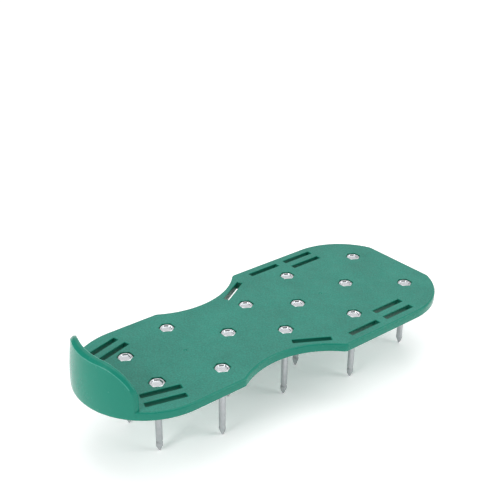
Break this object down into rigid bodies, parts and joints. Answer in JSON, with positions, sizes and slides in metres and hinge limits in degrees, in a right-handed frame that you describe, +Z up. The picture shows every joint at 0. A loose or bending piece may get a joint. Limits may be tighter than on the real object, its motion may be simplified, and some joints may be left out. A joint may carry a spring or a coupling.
{
  "type": "lawn aerator shoe",
  "caption": "Moulded waisted sole with a raised heel cup and strap slots, with hex headed pointed steel spikes sunk in its face and locked by nuts underneath.",
  "frame": {"origin": "on the ground under the middle of the sole, where the spike tips stand", "axes": "+Y to the toe, +X across the sole, +Z up"},
  "size_m": [0.13, 0.3, 0.0863],
  "materials": {
    "green_plastic": "fine matt grain on top, satin on the cup",
    "zinc_spike": "bright zinc plate",
    "zinc_nut": "zinc plate"
  },
  "bodies": {
    "root": {"sole": "green_plastic", "spike_01": "zinc_spike", "spike_02": "zinc_spike", "spike_03": "zinc_spike", "spike_04": "zinc_spike", "spike_05": "zinc_spike", "spike_06": "zinc_spike", "spike_07": "zinc_spike", "spike_08": "zinc_spike", "spike_09": "zinc_spike", "spike_10": "zinc_spike", "spike_11": "zinc_spike", "spike_12": "zinc_spike", "spike_13": "zinc_spike", "nut_01": "zinc_nut", "nut_02": "zinc_nut", "nut_03": "zinc_nut", "nut_04": "zinc_nut", "nut_05": "zinc_nut", "nut_06": "zinc_nut", "nut_07": "zinc_nut", "nut_08": "zinc_nut", "nut_09": "zinc_nut", "nut_10": "zinc_nut", "nut_11": "zinc_nut", "nut_12": "zinc_nut", "nut_13": "zinc_nut"}
  },
  "joints": []
}
